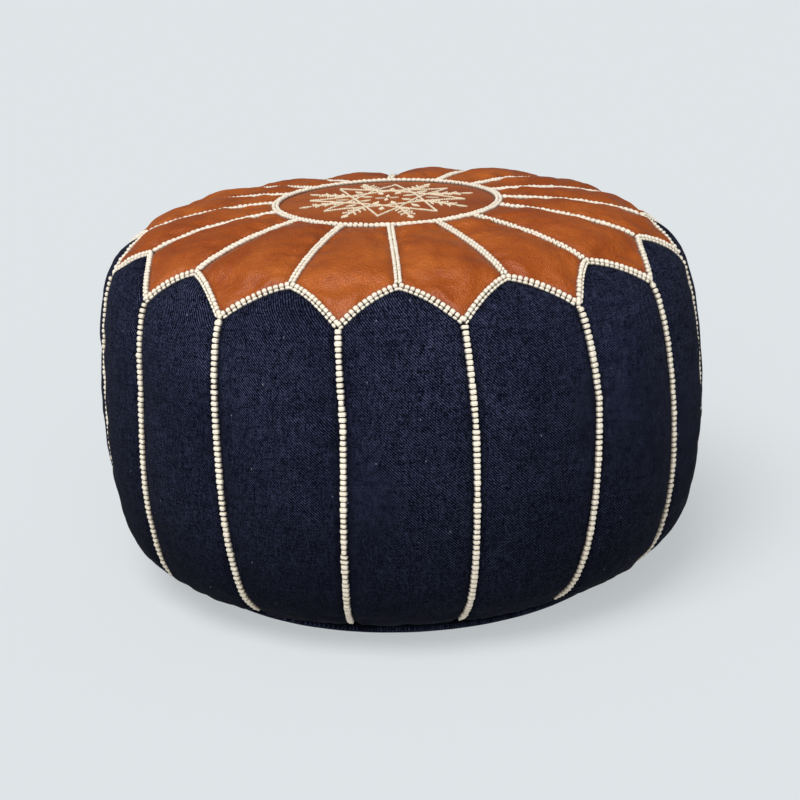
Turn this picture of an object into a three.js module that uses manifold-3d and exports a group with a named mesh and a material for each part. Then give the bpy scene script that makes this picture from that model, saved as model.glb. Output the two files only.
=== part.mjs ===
// A stuffed Moroccan pouf: a crown of leather petals round an embroidered medallion, denim side panels
// with pointed tops, thread braids over every seam, a two-piece base closed by a zip, and inside it a
// cotton insert full of fibre. Millimetres, +Z up, origin at the middle of the base on the floor, and
// azimuth 0 looks along -Y, which is the middle of side panel 1.
import * as THREE from "three";
import { mergeVertices } from "three/addons/utils/BufferGeometryUtils.js";
import Module from "manifold-3d";

const wasm = await Module();
wasm.setup();

// ---- Driving dimensions -------------------------------------------------------------------------
const PETALS = 16; // petals in the crown, and as many side panels
const LEATHER = 1.4; // thickness of the crown's goat leather
const DENIM = 1.2; // thickness of the side and base denim with its backing
const COTTON = 1.0; // thickness of the insert's calico
const SEAM_GAP = 0.35; // half the gap left between two panels at a seam
const SIDE_PUFF = 3.5; // how far the filling swells a side panel past its seams
const CROWN_PUFF = 6.0; // how far it swells a petal

// The line that every vertical seam follows, as [radius, height], from the base seam to the medallion.
const SEAM_LINE = [
  [203, 12],
  [233, 30],
  [256, 54],
  [270, 88],
  [276, 128],
  [277, 172.5],
  [275, 217.5],
  [270, 262.5],
  [259.5, 295.5],
  [231, 320.5],
  [195, 333],
  [150, 340.5],
  [110, 344],
];
const TIP_POINT = 8; // the petals' outer tips are at this point of the seam line
const PEAK_POINT = 9; // and the side panels' peaks at this one
const RING = { r: SEAM_LINE.at(-1)[0], z: SEAM_LINE.at(-1)[1] };

const BASE_FLAT_R = 188; // the base is flat inside this radius and rolls up outside it
const BASE_RIM_R = SEAM_LINE[0][0] - SEAM_GAP;
const BASE_RIM_Z = SEAM_LINE[0][1] - 1;

const ZIP_HALF = 134; // half the length of the zip's teeth
const ZIP_VALLEY = 5.5; // how far the base is drawn in along the zip
const VALLEY_Y = [17, 32]; // it is level to the first of these from the zip's middle, and gone at the second
const VALLEY_X = [160, 188]; // and the same along the zip
const COIL_Y = 0.6; // half the gap between the two rows of teeth
const COIL_W = 2.4;
const COIL_Z = [6.2, 8.6];
const TAPE_Y = [3.3, 17];
const TAPE_Z = [7.2, 7.8];
const BASE_LIP_Y = 7; // the base panels' edges stop this far from the zip's middle
const SLIDER_HALF = 6.5;
const SLIDER_REST_X = -ZIP_HALF + SLIDER_HALF; // the zip is closed with its slider here
const PULL_Z = 3.4; // height of the pull's hinge

const BRAID_W = 7;
const BRAID_H = 2.2;

const COLOURS = {
  leather: new THREE.Color(0.52, 0.17, 0.05),
  denim: new THREE.Color(0.012, 0.015, 0.045),
  thread: new THREE.Color(0.8, 0.74, 0.62),
  cotton: new THREE.Color(0.75, 0.7, 0.6),
  fibre: new THREE.Color(0.9, 0.9, 0.88),
  tape: new THREE.Color(0.01, 0.012, 0.03),
  metal: new THREE.Color(0.55, 0.42, 0.22),
};
const MATERIALS = {
  leather: new THREE.MeshStandardMaterial({ color: COLOURS.leather, roughness: 0.45 }),
  denim: new THREE.MeshStandardMaterial({ color: COLOURS.denim, roughness: 0.95 }),
  thread: new THREE.MeshStandardMaterial({ color: COLOURS.thread, roughness: 0.7 }),
  cotton: new THREE.MeshStandardMaterial({ color: COLOURS.cotton, roughness: 0.95 }),
  fibre: new THREE.MeshStandardMaterial({ color: COLOURS.fibre, roughness: 1 }),
  tape: new THREE.MeshStandardMaterial({ color: COLOURS.tape, roughness: 0.85 }),
  metal: new THREE.MeshStandardMaterial({ color: COLOURS.metal, roughness: 0.35, metalness: 1 }),
};

const pouf = new THREE.Group();

function addPiece(name, geometry, material) {
  const mesh = new THREE.Mesh(geometry, MATERIALS[material]);
  mesh.name = name;
  pouf.add(mesh);
  return mesh;
}

const numbered = (name, k) => `${name}_${String(k + 1).padStart(2, "0")}`;

// ---- Solids --------------------------------------------------------------------------------------
// A closed geometry as a manifold-3d solid, and back again.
function toSolid(geometry) {
  const bare = geometry.clone();
  bare.deleteAttribute("normal");
  bare.deleteAttribute("uv");
  const merged = mergeVertices(bare, 1e-4);
  return new wasm.Manifold(
    new wasm.Mesh({
      numProp: 3,
      vertProperties: new Float32Array(merged.attributes.position.array),
      triVerts: new Uint32Array(merged.index.array),
    }),
  );
}

function toGeometry(solid) {
  const mesh = solid.getMesh();
  const geometry = new THREE.BufferGeometry();
  geometry.setAttribute("position", new THREE.BufferAttribute(new Float32Array(mesh.vertProperties), 3));
  geometry.setIndex(new THREE.BufferAttribute(new Uint32Array(mesh.triVerts), 1));
  return geometry;
}

const joined = (geometries) => toGeometry(geometries.map(toSolid).reduce((a, b) => a.add(b)));

// A box between two corners.
function block([x0, y0, z0], [x1, y1, z1]) {
  const box = new THREE.BoxGeometry(x1 - x0, y1 - y0, z1 - z0);
  return box.translate((x0 + x1) / 2, (y0 + y1) / 2, (z0 + z1) / 2);
}

// A thin closed sheet: at(u, v, depth) is the point on its outer face at depth 0 and its inner face at 1.
// u runs round the object, v runs up it, and both lists of stations run from 0 to 1.
function sheet(us, vs, at) {
  const points = [];
  for (const depth of [0, 1]) for (const v of vs) for (const u of us) points.push(...at(u, v, depth));
  const index = [];
  const id = (i, j, depth) => (depth * vs.length + j) * us.length + i;
  const quad = (a, b, c, d) => index.push(a, b, c, a, c, d);
  for (let j = 0; j + 1 < vs.length; j++) {
    for (let i = 0; i + 1 < us.length; i++) {
      quad(id(i, j, 0), id(i + 1, j, 0), id(i + 1, j + 1, 0), id(i, j + 1, 0));
      quad(id(i, j, 1), id(i, j + 1, 1), id(i + 1, j + 1, 1), id(i + 1, j, 1));
    }
  }
  const right = us.length - 1;
  const top = vs.length - 1;
  for (let i = 0; i < right; i++) {
    quad(id(i, 0, 0), id(i, 0, 1), id(i + 1, 0, 1), id(i + 1, 0, 0));
    quad(id(i, top, 0), id(i + 1, top, 0), id(i + 1, top, 1), id(i, top, 1));
  }
  for (let j = 0; j < top; j++) {
    quad(id(0, j, 0), id(0, j + 1, 0), id(0, j + 1, 1), id(0, j, 1));
    quad(id(right, j, 0), id(right, j, 1), id(right, j + 1, 1), id(right, j + 1, 0));
  }
  const geometry = new THREE.BufferGeometry();
  geometry.setAttribute("position", new THREE.Float32BufferAttribute(points, 3));
  geometry.setIndex(index);
  return geometry;
}

const stations = (count) => Array.from({ length: count + 1 }, (_, i) => i / count);

// ---- The cover's surface -------------------------------------------------------------------------
const PITCH = (2 * Math.PI) / PETALS;
const seamCurve = new THREE.CatmullRomCurve3(
  SEAM_LINE.map(([r, z]) => new THREE.Vector3(r, 0, z)),
  false,
  "centripetal",
);
const T_TIP = TIP_POINT / (SEAM_LINE.length - 1);
const T_PEAK = PEAK_POINT / (SEAM_LINE.length - 1);

// Where the seam line is at t, which way is out of the pouf there, and how many mm a unit of t is.
function meridian(t) {
  const inside = THREE.MathUtils.clamp(t, 0, 1);
  const point = seamCurve.getPoint(inside);
  const step = 1e-3;
  const low = seamCurve.getPoint(Math.max(inside - step, 0));
  const high = seamCurve.getPoint(Math.min(inside + step, 1));
  const along = high.sub(low);
  const speed = along.length() / (Math.min(inside + step, 1) - Math.max(inside - step, 0));
  along.normalize();
  return { r: point.x, z: point.z, outR: along.z, outZ: -along.x, speed };
}

// The point at an azimuth and a place t on the seam line, lifted off it along its normal.
function onCover(azimuth, t, lift) {
  const m = meridian(t);
  const r = m.r + m.outR * lift;
  return [r * Math.sin(azimuth), -r * Math.cos(azimuth), m.z + m.outZ * lift];
}

// The arched edge between crown and sides: a peak at each side panel's middle, a tip at each side seam.
function zigzag(azimuth) {
  const turns = azimuth / PITCH;
  const d = 2 * Math.abs(turns - Math.round(turns));
  return T_PEAK - (T_PEAK - T_TIP) * (0.6 * d + 0.4 * d * d);
}

// How much of a panel's full swell there is at s across it, from -1 to 1, and v along it, from 0 to 1.
const pillow = (s, v) => (1 - s * s) * (1 - (2 * v - 1) ** 4);

// One panel between two azimuths half a pitch either side of its middle, from t low(az) to high(az).
function panel(middle, low, high, puff, thickness, columns, rows) {
  return sheet(stations(columns), stations(rows), (u, v, depth) => {
    const s = 2 * u - 1;
    const across = (t) => middle + s * (PITCH / 2 - SEAM_GAP / meridian(t).r);
    const nominal = middle + (s * PITCH) / 2;
    const from = low(nominal) + SEAM_GAP / meridian(low(nominal)).speed;
    const to = high(nominal) - SEAM_GAP / meridian(high(nominal)).speed;
    const t = THREE.MathUtils.lerp(from, to, v);
    return onCover(across(t), t, puff * pillow(s, v) - depth * thickness);
  });
}

for (let k = 0; k < PETALS; k++) {
  const side = panel(k * PITCH, () => 0, zigzag, SIDE_PUFF, DENIM, 4, 8);
  addPiece(numbered("side_panel", k), side, "denim");
}
for (let k = 0; k < PETALS; k++) {
  const petal = panel((k + 0.5) * PITCH, zigzag, () => 1, CROWN_PUFF, LEATHER, 4, 5);
  addPiece(numbered("petal", k), petal, "leather");
}

// The medallion is a flat disc inside the petals' inner edges.
function disc(radius, low, high, segments) {
  const profile = [
    [0, low],
    [radius, low],
    [radius, high],
    [0, high],
  ];
  return turned(profile, segments);
}

// A solid turned about Z from [radius, height] points that start and end on the axis, bottom first.
function turned(profile, segments) {
  const lathe = new THREE.LatheGeometry(
    profile.map(([r, z]) => new THREE.Vector2(r, z)),
    segments,
  );
  return lathe.rotateX(Math.PI / 2);
}

addPiece("medallion", disc(RING.r - SEAM_GAP, RING.z - LEATHER, RING.z, 48), "leather");

// ---- Thread braids over the seams ----------------------------------------------------------------
// A braid is a low ridge that runs along a path on the cover, given as [azimuth, t] stations.
function braid(path, lift, closed) {
  const count = path.length;
  const centre = path.map(([azimuth, t]) => new THREE.Vector3(...onCover(azimuth, t, 0)));
  const out = path.map(([azimuth, t], i) => new THREE.Vector3(...onCover(azimuth, t, 1)).sub(centre[i]));
  const section = [
    [-BRAID_W / 2, 0],
    [BRAID_W / 2, 0],
    [BRAID_W / 3, BRAID_H],
    [-BRAID_W / 3, BRAID_H],
  ];
  const points = [];
  for (let i = 0; i < count; i++) {
    const before = closed ? (i + count - 1) % count : Math.max(i - 1, 0);
    const after = closed ? (i + 1) % count : Math.min(i + 1, count - 1);
    const along = centre[after].clone().sub(centre[before]).normalize();
    const across = along.clone().cross(out[i]).normalize();
    for (const [y, z] of section) {
      const corner = centre[i].clone().addScaledVector(across, y).addScaledVector(out[i], lift + z);
      points.push(corner.x, corner.y, corner.z);
    }
  }
  const index = [];
  const id = (i, corner) => (i % count) * section.length + (corner % section.length);
  for (let i = 0; i < (closed ? count : count - 1); i++) {
    for (let c = 0; c < section.length; c++) {
      const [a, b, e, d] = [id(i, c), id(i, c + 1), id(i + 1, c + 1), id(i + 1, c)];
      index.push(a, e, b, a, d, e);
    }
  }
  if (!closed) {
    const last = count - 1;
    index.push(id(0, 0), id(0, 1), id(0, 2), id(0, 0), id(0, 2), id(0, 3));
    index.push(id(last, 0), id(last, 2), id(last, 1), id(last, 0), id(last, 3), id(last, 2));
  }
  const geometry = new THREE.BufferGeometry();
  geometry.setAttribute("position", new THREE.Float32BufferAttribute(points, 3));
  geometry.setIndex(index);
  return geometry;
}

const SIDE_BRAID_LIFT = 1.9;
const ZIGZAG_LIFT = 1.3;
const RAY_LIFT = 1.6;
const RING_LIFT = 0.6;
const SIDE_START = 1.8; // the side braids start this far under the tips
const BRAID_FOOT_T = 0.03; // the side braids end a little above the base seam
const RAY_START = 1.5; // the crown's rays start this far from the middle of the medallion's ring
const RAY_END_GAP = 7; // and stop this far short of the arched edge

const zigzagStations = Array.from({ length: PETALS * 6 }, (_, i) => (i * PITCH) / 6);
const sideBraids = [braid(zigzagStations.map((a) => [a, zigzag(a)]), ZIGZAG_LIFT, true)];
const T_SIDE_START = T_TIP - SIDE_START / meridian(T_TIP).speed;
for (let k = 0; k < PETALS; k++) {
  const azimuth = (k + 0.5) * PITCH;
  const drop = stations(8).map((v) => [azimuth, THREE.MathUtils.lerp(T_SIDE_START, BRAID_FOOT_T, v)]);
  sideBraids.push(braid(drop, SIDE_BRAID_LIFT, false));
}
addPiece("side_seam_braid", joined(sideBraids), "thread");

const ringStations = Array.from({ length: PETALS * 3 }, (_, i) => (i * PITCH) / 3);
const crownBraids = [braid(ringStations.map((a) => [a, 1]), RING_LIFT, true)];
const T_RAY_START = 1 - RAY_START / meridian(1).speed;
const T_RAY_END = T_PEAK + RAY_END_GAP / meridian(T_PEAK).speed;
for (let k = 0; k < PETALS; k++) {
  const ray = stations(4).map((v) => [k * PITCH, THREE.MathUtils.lerp(T_RAY_START, T_RAY_END, v)]);
  crownBraids.push(braid(ray, RAY_LIFT, false));
}
addPiece("crown_seam_braid", joined(crownBraids), "thread");

// The medallion's motif: an eight-pointed star of couched thread, each point joined to the third one along.
const STAR_POINTS = 8;
const STAR_STEP = 3;
const STAR_R = 72;
const STAR_TURN = THREE.MathUtils.degToRad(-7);
const STAR_LINE = 2.4;
const STAR_Z = [RING.z + 0.3, RING.z + 1.2];

function starLine(k) {
  const point = (i) => {
    const a = STAR_TURN + (i * 2 * Math.PI) / STAR_POINTS;
    return new THREE.Vector2(STAR_R * Math.sin(a), -STAR_R * Math.cos(a));
  };
  const from = point(k);
  const line = point(k + STAR_STEP).sub(from);
  const middle = line.clone().multiplyScalar(0.5).add(from);
  return new THREE.BoxGeometry(line.length(), STAR_LINE, STAR_Z[1] - STAR_Z[0])
    .rotateZ(line.angle())
    .translate(middle.x, middle.y, (STAR_Z[0] + STAR_Z[1]) / 2);
}
const starLines = Array.from({ length: STAR_POINTS }, (_, k) => starLine(k));
addPiece("medallion_motif", joined(starLines), "thread");

// ---- Base ----------------------------------------------------------------------------------------
const smooth = THREE.MathUtils.smoothstep;

// Height of the base's lower face: flat, rolled up at the rim, and drawn in along the zip.
function baseHeight(x, y) {
  const share = THREE.MathUtils.clamp((Math.hypot(x, y) - BASE_FLAT_R) / (BASE_RIM_R - BASE_FLAT_R), 0, 1);
  const roll = BASE_RIM_Z * (1 - Math.sqrt(1 - share * share));
  const valley = ZIP_VALLEY * (1 - smooth(Math.abs(x), ...VALLEY_X)) * (1 - smooth(Math.abs(y), ...VALLEY_Y));
  return Math.max(roll, valley);
}

// Half the slot between the two base panels: open along the zip, closed by a plain seam past its ends.
const slotHalf = (x) => THREE.MathUtils.lerp(BASE_LIP_Y, SEAM_GAP, smooth(Math.abs(x), 151, 171));

const BASE_ROWS = [0, 0.1, 0.2, 0.5, 0.85, 0.92, 0.96, 0.985, 1];
const RIM_END = THREE.MathUtils.degToRad(4);

// Distance from the zip's middle at v: the slot, the valley's level part, its slope, then out to the rim.
function baseRow(x, rim, v) {
  const squeeze = Math.min(1, rim / 75);
  const [level, slope] = VALLEY_Y.map((y) => y * squeeze);
  if (v <= 0.1) return THREE.MathUtils.lerp(slotHalf(x), level, v / 0.1);
  if (v <= 0.2) return THREE.MathUtils.lerp(level, slope, (v - 0.1) / 0.1);
  return THREE.MathUtils.lerp(slope, rim, (v - 0.2) / 0.8);
}

// The front panel is side -1 and the rear one side 1. u runs along the zip and v from the zip to the rim.
function basePanel(side) {
  return sheet(stations(20), BASE_ROWS, (u, v, depth) => {
    const angle = THREE.MathUtils.lerp(RIM_END, Math.PI - RIM_END, u);
    const x = side * BASE_RIM_R * Math.cos(angle);
    const y = side * baseRow(x, BASE_RIM_R * Math.sin(angle), v);
    const inward = 1 - (depth * DENIM * v ** 8) / BASE_RIM_R;
    return [x * inward, y * inward, baseHeight(x, y) + depth * DENIM * (1 - 0.6 * v ** 8)];
  });
}
addPiece("base_panel_front", basePanel(-1), "denim");
addPiece("base_panel_rear", basePanel(1), "denim");

// ---- Insert: a cotton bag in two pieces, full of fibre -------------------------------------------
const SPLIT_POINT = 5; // the insert's two pieces meet at this point of the seam line
const INSERT_GAP = 7; // from the seam line to the insert
const INSERT_BASE_Z = DENIM + 1.2;
const INSERT_SEGMENTS = 32;

// The insert's side as [radius, height] between two points of the seam line, a distance inside it.
function insertSide(depth, from, to) {
  const points = [];
  for (let i = from; i <= to; i++) {
    const m = meridian(i / (SEAM_LINE.length - 1));
    points.push([m.r - m.outR * depth, m.z - m.outZ * depth]);
  }
  return points;
}
const TOP_POINT = SEAM_LINE.length - 1;
const splitZ = SEAM_LINE[SPLIT_POINT][1];

// The bottom of the insert is flat and meets its side above the base's rolled rim.
const insertBottom = (extra) => [
  [0, INSERT_BASE_Z + extra],
  [BASE_FLAT_R - 8 - extra, INSERT_BASE_Z + extra],
];

// A ridge along the zip that the insert is cut back from, grown by some clearance.
function zipRidge(grow) {
  const half = [
    [38 + grow, 0],
    [20 + grow, 8.8 + grow],
    [9 + grow, 11 + grow],
  ];
  const corners = [...half, ...half.map(([y, z]) => [-y, z]).reverse()];
  const outline = new THREE.Shape(corners.map(([y, z]) => new THREE.Vector2(y, z)));
  const length = 2 * (206 + grow);
  const ridge = new THREE.ExtrudeGeometry(outline, { depth: length, bevelEnabled: false });
  ridge.translate(0, 0, -length / 2);
  return toSolid(ridge.rotateY(Math.PI / 2).rotateX(Math.PI / 2));
}

// The lower half of the insert at a depth inside its outer face, closed across at its split.
function insertLower(depth, top) {
  const side = insertSide(INSERT_GAP + depth, 0, SPLIT_POINT);
  const profile = [...insertBottom(depth), ...side.slice(0, -1), [side.at(-1)[0], top], [0, top]];
  return toSolid(turned(profile, INSERT_SEGMENTS));
}
const lowerOuter = insertLower(0, splitZ).subtract(zipRidge(0));
const lowerInner = insertLower(COTTON, splitZ + 5).subtract(zipRidge(COTTON));
addPiece("insert_cover_base", toGeometry(lowerOuter.subtract(lowerInner)), "cotton");

const upperOuter = insertSide(INSERT_GAP, SPLIT_POINT, TOP_POINT);
const upperInner = insertSide(INSERT_GAP + COTTON, SPLIT_POINT, TOP_POINT);
const splitTop = splitZ + 0.4;
const upperProfile = [
  [upperInner[0][0], splitTop],
  [upperOuter[0][0], splitTop],
  ...upperOuter.slice(1),
  [0, upperOuter.at(-1)[1]],
  [0, upperInner.at(-1)[1]],
  ...upperInner.slice(1).reverse(),
  [upperInner[0][0], splitTop],
];
addPiece("insert_cover_top", turned(upperProfile, INSERT_SEGMENTS), "cotton");

const FILL_DEPTH = COTTON + 0.5;
const fillSide = insertSide(INSERT_GAP + FILL_DEPTH, 0, TOP_POINT);
const fillProfile = [...insertBottom(FILL_DEPTH), ...fillSide, [0, fillSide.at(-1)[1]]];
const filling = toSolid(turned(fillProfile, INSERT_SEGMENTS)).subtract(zipRidge(FILL_DEPTH));
addPiece("fibre_filling", toGeometry(filling), "fibre");

// ---- Zip -----------------------------------------------------------------------------------------
const TAPE_END = 148;
const STOP_LENGTH = 2.2;
const STOP_GROW = 0.45; // how far a crimped stop stands round the teeth
const STOP_CLEAR = 0.3;

for (const [place, side] of [
  ["front", -1],
  ["rear", 1],
]) {
  const y = (a, b) => (side > 0 ? [a, b] : [-b, -a]);
  const [tapeLow, tapeHigh] = y(...TAPE_Y);
  const tape = block([-TAPE_END, tapeLow, TAPE_Z[0]], [TAPE_END, tapeHigh, TAPE_Z[1]]);
  addPiece(`zip_tape_${place}`, tape, "tape");

  const [coilLow, coilHigh] = y(COIL_Y, COIL_Y + COIL_W);
  const coil = block([-ZIP_HALF, coilLow, COIL_Z[0]], [ZIP_HALF, coilHigh, COIL_Z[1]]);
  addPiece(`zip_coil_${place}`, coil, "tape");

  const stopLow = -ZIP_HALF - STOP_CLEAR - STOP_LENGTH;
  const [stopIn, stopOut] = y(0.25, COIL_Y + COIL_W - 0.1);
  const topStop = block(
    [stopLow, stopIn, COIL_Z[0] - STOP_GROW],
    [-ZIP_HALF - STOP_CLEAR, stopOut, COIL_Z[1] + STOP_GROW],
  );
  addPiece(`zip_top_stop_${place}`, topStop, "metal");
}
const bottomStop = block(
  [ZIP_HALF + STOP_CLEAR, -COIL_Y - COIL_W + 0.1, COIL_Z[0] - STOP_GROW],
  [ZIP_HALF + STOP_CLEAR + 2 * STOP_LENGTH, COIL_Y + COIL_W - 0.1, COIL_Z[1] + STOP_GROW],
);
addPiece("zip_bottom_stop", bottomStop, "metal");

// The slider: two plates joined by a post that runs between the rows of teeth, with side flanges that
// leave a slot for the tapes, and a bail under the outer plate for the pull.
const PLATE_Y = 4.5;
const PLATE_T = 1.0;
const OUTER_PLATE_Z = 4.6;
const INNER_PLATE_Z = 9.2;
const SLOT_Z = [6.9, 8.1];
const BAIL_HALF = 4.2;
const BAIL_W = 2.0;
const BAIL_Z = 0.9;
const POST_HALF = 0.35;

function sliderPlate(z) {
  const outline = new THREE.Shape();
  outline.moveTo(-SLIDER_HALF, -PLATE_Y + 1.5);
  outline.lineTo(-SLIDER_HALF + 1.5, -PLATE_Y);
  outline.lineTo(SLIDER_HALF - 3, -PLATE_Y);
  outline.quadraticCurveTo(SLIDER_HALF, -PLATE_Y, SLIDER_HALF, -PLATE_Y + 3);
  outline.lineTo(SLIDER_HALF, PLATE_Y - 3);
  outline.quadraticCurveTo(SLIDER_HALF, PLATE_Y, SLIDER_HALF - 3, PLATE_Y);
  outline.lineTo(-SLIDER_HALF + 1.5, PLATE_Y);
  outline.lineTo(-SLIDER_HALF, PLATE_Y - 1.5);
  outline.closePath();
  const plate = new THREE.ExtrudeGeometry(outline, { depth: PLATE_T, bevelEnabled: false, curveSegments: 4 });
  return plate.translate(0, 0, z);
}

const flangeX = SLIDER_HALF - 2.2;
const sliderParts = [sliderPlate(OUTER_PLATE_Z), sliderPlate(INNER_PLATE_Z)];
for (const side of [-1, 1]) {
  const [y0, y1] = side > 0 ? [PLATE_Y - 0.9, PLATE_Y] : [-PLATE_Y, -PLATE_Y + 0.9];
  sliderParts.push(block([-flangeX, y0, OUTER_PLATE_Z + 0.5], [flangeX, y1, SLOT_Z[0]]));
  sliderParts.push(block([-flangeX, y0, SLOT_Z[1]], [flangeX, y1, INNER_PLATE_Z + 0.5]));
  const [x0, x1] = side > 0 ? [BAIL_HALF - 1.2, BAIL_HALF] : [-BAIL_HALF, -BAIL_HALF + 1.2];
  sliderParts.push(block([x0, -BAIL_W / 2, BAIL_Z + 0.5], [x1, BAIL_W / 2, OUTER_PLATE_Z + 0.5]));
}
sliderParts.push(block([-BAIL_HALF, -BAIL_W / 2, BAIL_Z], [BAIL_HALF, BAIL_W / 2, BAIL_Z + 1]));
sliderParts.push(
  block([-SLIDER_HALF + 0.6, -POST_HALF, OUTER_PLATE_Z + 0.5], [-SLIDER_HALF + 3.6, POST_HALF, INNER_PLATE_Z + 0.5]),
);
addPiece("zip_slider", joined(sliderParts).translate(SLIDER_REST_X, 0, 0), "metal");

// The pull: a flat tab with an eye round the bail. Its crossbar, the hinge, is at its own x = 0.
const PULL_T = 1.3;
const PULL_LENGTH = 27;
const EYE = { x0: 0.65, x1: 5.8, y: 1.6 };

const pullOutline = new THREE.Shape();
pullOutline.moveTo(-EYE.x0, -3);
pullOutline.lineTo(7.5, -3);
pullOutline.lineTo(10, -2.2);
pullOutline.lineTo(PULL_LENGTH - 4, -3.6);
pullOutline.quadraticCurveTo(PULL_LENGTH, -3.4, PULL_LENGTH, 0);
pullOutline.quadraticCurveTo(PULL_LENGTH, 3.4, PULL_LENGTH - 4, 3.6);
pullOutline.lineTo(10, 2.2);
pullOutline.lineTo(7.5, 3);
pullOutline.lineTo(-EYE.x0, 3);
pullOutline.closePath();
const eye = new THREE.Path();
eye.moveTo(EYE.x0, -EYE.y);
eye.lineTo(EYE.x0, EYE.y);
eye.lineTo(EYE.x1, EYE.y);
eye.lineTo(EYE.x1, -EYE.y);
eye.closePath();
pullOutline.holes.push(eye);
const pull = new THREE.ExtrudeGeometry(pullOutline, { depth: PULL_T, bevelEnabled: false, curveSegments: 5 });
pull.translate(SLIDER_REST_X, 0, PULL_Z - PULL_T / 2);
addPiece("zip_pull", pull, "metal");

export default pouf;
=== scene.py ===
"""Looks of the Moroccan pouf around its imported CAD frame: metres, +Z up, -Y the front."""

import math

import bpy
import numpy as np
from mathutils import Matrix, Vector


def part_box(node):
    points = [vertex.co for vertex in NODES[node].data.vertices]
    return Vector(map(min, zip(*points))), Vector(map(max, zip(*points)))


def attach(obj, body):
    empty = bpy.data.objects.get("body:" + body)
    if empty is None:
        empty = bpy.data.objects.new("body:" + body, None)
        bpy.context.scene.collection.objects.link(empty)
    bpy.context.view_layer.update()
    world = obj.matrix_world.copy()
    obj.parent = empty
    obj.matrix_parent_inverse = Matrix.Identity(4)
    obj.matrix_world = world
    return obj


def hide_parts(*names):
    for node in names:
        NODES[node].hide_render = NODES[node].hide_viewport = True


MM = 0.001
PETALS = 16
PITCH = 2 * math.pi / PETALS

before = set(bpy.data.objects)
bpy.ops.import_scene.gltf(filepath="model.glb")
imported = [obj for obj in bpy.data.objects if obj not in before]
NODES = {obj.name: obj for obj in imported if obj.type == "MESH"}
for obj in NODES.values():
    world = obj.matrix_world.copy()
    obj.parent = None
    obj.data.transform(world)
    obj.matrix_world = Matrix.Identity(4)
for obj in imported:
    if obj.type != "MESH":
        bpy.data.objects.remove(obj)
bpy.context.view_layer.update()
scene = bpy.context.scene

# ------------------------ the cover's seam line
SEAM_LINE = (
    np.array(
        [
            [203, 12],
            [233, 30],
            [256, 54],
            [270, 88],
            [276, 128],
            [277, 172.5],
            [275, 217.5],
            [270, 262.5],
            [259.5, 295.5],
            [231, 320.5],
            [195, 333],
            [150, 340.5],
            [110, 344],
        ]
    )
    * MM
)
LAST = len(SEAM_LINE) - 1
T_TIP = 8 / LAST
T_PEAK = 9 / LAST


def catmull(points, t):
    """The point at t on a centripetal Catmull-Rom curve through points, as three.js draws it."""
    p = (len(points) - 1) * t
    i = min(int(p), len(points) - 2)
    w = p - i
    p1, p2 = points[i], points[i + 1]
    p0 = points[i - 1] if i > 0 else 2 * points[0] - points[1]
    p3 = points[i + 2] if i + 2 < len(points) else 2 * points[-1] - points[-2]
    d0, d1, d2 = (math.sqrt(np.linalg.norm(b - a)) for a, b in ((p0, p1), (p1, p2), (p2, p3)))
    m1 = ((p1 - p0) / d0 - (p2 - p0) / (d0 + d1) + (p2 - p1) / d1) * d1
    m2 = ((p2 - p1) / d1 - (p3 - p1) / (d1 + d2) + (p3 - p2) / d2) * d1
    c2 = 3 * (p2 - p1) - 2 * m1 - m2
    c3 = 2 * (p1 - p2) + m1 + m2
    return p1 + m1 * w + c2 * w * w + c3 * w**3


TABLE_T = np.linspace(0, 1, 1201)
TABLE_P = np.array([catmull(SEAM_LINE, t) for t in TABLE_T])
TABLE_D = np.gradient(TABLE_P, TABLE_T, axis=0)
TABLE_SPEED = np.linalg.norm(TABLE_D, axis=1)
TABLE_N = np.stack([TABLE_D[:, 1], -TABLE_D[:, 0]], 1) / TABLE_SPEED[:, None]

# How far each seam strays from its even place, in degrees: the side seams at their feet, middles and tips,
# then the crown's seams at the side panels' peaks and at the medallion.
SIDE_STRAY = {
    "foot": [-0.1, -1.5, 2.0, 0.0, 0.4, -0.5, 0.6, -0.3, 0.3, -0.6, 0.5, 0.2, 0.0, -1.5, 0.5, -1.2],
    "middle": [1.0, 2.6, 1.9, 1.0, -0.4, 0.5, -0.6, 0.7, -0.3, 0.6, -0.7, 0.4, 0.2, 1.5, -0.7, 1.0],
    "tip": [0.4, 1.0, 0.5, 1.5, 0.4, -0.6, 0.5, -0.4, 0.6, -0.5, 0.3, -0.6, -1.3, 0.3, -0.5, 0.5],
}
CROWN_STRAY = {
    "peak": [0.3, 0.5, -1.1, 1.0, 2.0, 0.8, -0.8, 0.6, -0.6, 0.5, -0.7, -1.0, -1.5, -2.6, -2.0, 0.4],
    "ring": [1.4, 2.2, 1.5, 6.0, 2.0, -0.8, -5.0, -5.0, -1.9, -1.9, -2.1, -5.5, -6.0, -5.3, -4.3, 0.3],
}
MEDALLION_SHIFT = np.array([-6.0, 0.0]) * MM
MEDALLION_SCALE = 0.935
BELLY_SHIFT = np.array([2.4, 0.0]) * MM  # the sides sag a little more to the right
FOOT_BULGE = 2.0 * MM  # the cover bulges this much just above the base,
FOOT_SIDES = 3.4 * MM  # this much more at its left and right,
FOOT_LEAN = 1.4 * MM  # and this much more again at the left, and less at the right
HIGH_PETALS = 3 * MM  # the petals stand this much higher at the back right
HIGH_TURN = math.radians(152)
HIGH_NARROW = 2  # the higher this power, the fewer petals it reaches
LOW_PETALS = 4.5 * MM  # and one of them this much lower, just left of the back
LOW_TURN = math.radians(192)
LOW_NARROW = 12
CROWN_BAND = (0.7, 1.0)  # t over which the crown comes to follow the medallion
FOOT_BAND = (0.0, 0.11, 0.12, 0.27)  # t at which each swelling starts, is full, starts to fade and ends
BELLY_BAND = (0.02, 0.25, 0.4, 0.66)
PETAL_BAND = (0.68, 0.8, 0.88, 1.0)


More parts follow.
